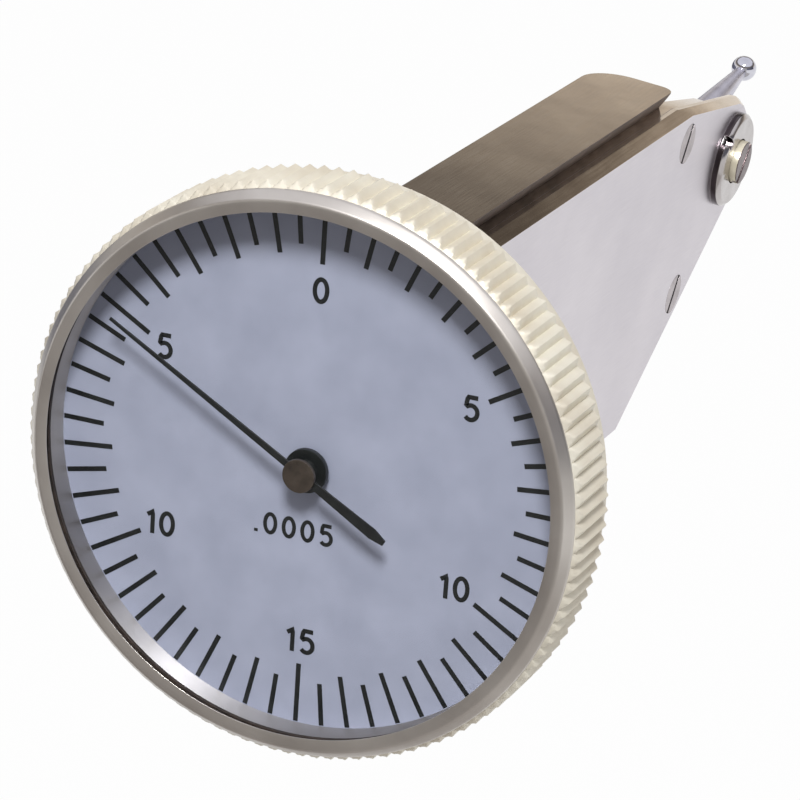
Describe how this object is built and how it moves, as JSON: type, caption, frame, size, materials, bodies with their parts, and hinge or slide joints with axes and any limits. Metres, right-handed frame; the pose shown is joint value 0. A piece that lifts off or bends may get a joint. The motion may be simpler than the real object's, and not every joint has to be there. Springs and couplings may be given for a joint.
{
  "type": "lever test indicator",
  "caption": "Lever-type dial test indicator with the dial square to the body, a turning bezel, a dovetail rail along the top and a ball-ended swivelling stylus at the nose.",
  "frame": {"origin": "middle of the top face of the dovetail rail", "axes": "+X to the right when facing the dial, +Y from the dial towards the stylus, +Z out of the rail"},
  "size_m": [0.038, 0.0839, 0.038],
  "materials": {
    "frame_satin": "satin chrome, brownish grey on the rail",
    "cover_satin": "bright satin chrome",
    "bezel_satin": "satin chrome, ivory on the knurl",
    "cap_polished": "polished chrome",
    "screw_steel": "bright steel",
    "spring_steel": "plain spring steel",
    "train_steel": "ground steel",
    "stylus_steel": "polished steel",
    "ball_steel": "mirror polished hard ball",
    "hairspring_blue": "blued steel",
    "brass": "plain brass",
    "cap_bronze": "dull bronze",
    "ruby": "red synthetic stone",
    "crystal_clear": "clear and flat",
    "gasket_rubber": "soft black ring",
    "dial_paint": "matt lavender grey with black marks",
    "pointer_black": "matt black"
  },
  "bodies": {
    "body": {"body_frame": "frame_satin", "side_cover": "cover_satin", "cover_screws": "screw_steel", "dial_housing": "frame_satin", "housing_screws": "screw_steel", "bezel_wire": "spring_steel", "front_jewel": "ruby", "rear_jewel": "ruby", "end_stone": "ruby", "arbor_cock": "brass", "cock_screws": "screw_steel", "crown_jewel_left": "ruby", "crown_jewel_right": "ruby", "train_bridge": "brass", "bridge_screws": "screw_steel", "lever_jewel_left": "ruby", "lever_jewel_right": "ruby", "pivot_cap_left": "cap_polished", "pivot_cap_right": "cap_polished", "pivot_screw_left": "screw_steel", "pivot_screw_right": "screw_steel", "stop_pins": "train_steel", "return_spring": "spring_steel", "spring_post": "brass", "hairspring": "hairspring_blue", "hairspring_stud": "brass"},
    "bezel": {"bezel": "bezel_satin", "crystal": "crystal_clear", "crystal_gasket": "gasket_rubber", "dial_plate": "dial_paint", "dial_ring": "spring_steel"},
    "pointer": {"pointer": "pointer_black", "pointer_hub": "pointer_black", "pointer_cap": "cap_bronze", "pointer_arbor": "train_steel", "hairspring_collet": "brass"},
    "crown": {"crown_wheel": "brass", "crown_arbor": "train_steel"},
    "lever": {"sector_lever": "train_steel", "lever_shaft": "train_steel", "clutch_washer": "spring_steel", "clutch_collar": "train_steel"},
    "stylus": {"stylus_hub": "stylus_steel", "stylus_stem": "stylus_steel", "contact_ball": "ball_steel"}
  },
  "joints": [
    {"name": "bezel_turn", "type": "hinge", "parent": "body", "child": "bezel", "pos_m": [0, -0.0281, -0.014], "axis": [0, 1, 0], "continuous": true},
    {"name": "pointer_spin", "type": "hinge", "parent": "body", "child": "pointer", "pos_m": [0, -0.0281, -0.014], "axis": [0, 1, 0], "range_deg": [0, 400.01], "stiffness_Nm_per_rad": 0.0000025, "springref_deg": -359.99, "deforming": ["hairspring"]},
    {"name": "crown_spin", "type": "hinge", "parent": "body", "child": "crown", "pos_m": [0, -0.0109, -0.014], "axis": [1, 0, 0], "range_deg": [-50.01, 0]},
    {"name": "lever_swing", "type": "hinge", "parent": "body", "child": "lever", "pos_m": [0, 0.0375, -0.0084], "axis": [1, 0, 0], "range_deg": [0, 3.31], "deforming": ["return_spring"]},
    {"name": "stylus_swivel", "type": "hinge", "parent": "lever", "child": "stylus", "pos_m": [0, 0.0375, -0.0084], "axis": [1, 0, 0], "range_deg": [-115, 115]}
  ],
  "couplings": [
    {"joint": "crown_spin", "follows": "lever_swing", "ratio": -15.125},
    {"joint": "pointer_spin", "follows": "lever_swing", "ratio": 121}
  ]
}
